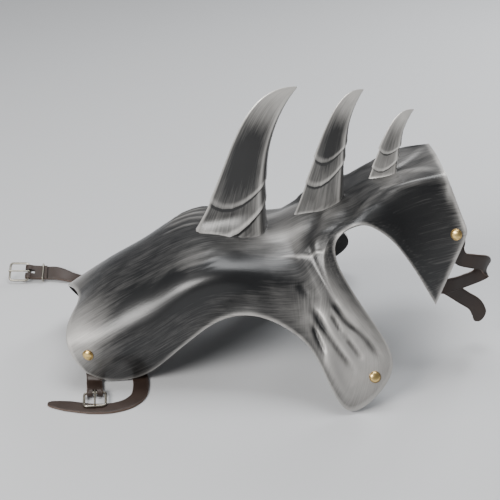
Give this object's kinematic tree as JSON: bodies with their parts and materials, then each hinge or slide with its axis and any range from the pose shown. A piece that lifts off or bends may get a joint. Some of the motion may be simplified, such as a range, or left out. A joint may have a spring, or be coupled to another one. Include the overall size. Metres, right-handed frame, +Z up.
{
  "type": "horse head armour",
  "caption": "Blackened moulded horse head armour with backward-curving blade horns along its crest, brass rivets and leather straps with wire buckles.",
  "frame": {"origin": "middle of the bounding box's foot, on the surface that the armour rests on", "axes": "+X from the nose rim to the rear rim, +Z up, -Y the side with the pointed nose strap"},
  "size_m": [0.5732, 0.3546, 0.3208],
  "materials": {
    "blackened_leather": "semi-gloss black with silver rubbed over the high places",
    "blackened_horn": "semi-gloss black with silver rubbed on tips and edges",
    "strap_leather": "satin dark brown",
    "brass": "polished and a little aged",
    "buckle_steel": "antique pale metal"
  },
  "bodies": {
    "root": {"shell": "blackened_leather", "horn_front": "blackened_horn", "horn_middle": "blackened_horn", "horn_rear": "blackened_horn", "rivet_nose_near": "brass", "rivet_nose_far": "brass", "rivet_cheek_near": "brass", "rivet_cheek_far": "brass", "rivet_rear_near": "brass", "rivet_rear_far": "brass", "nose_tab": "strap_leather", "nose_billet": "strap_leather", "nose_strap_far": "strap_leather", "rear_strap_near": "strap_leather", "rear_strap_far": "strap_leather", "tab_buckle_frame": "buckle_steel", "tab_buckle_prong": "buckle_steel", "far_buckle_frame": "buckle_steel", "far_buckle_prong": "buckle_steel", "far_keeper": "buckle_steel"}
  },
  "joints": []
}
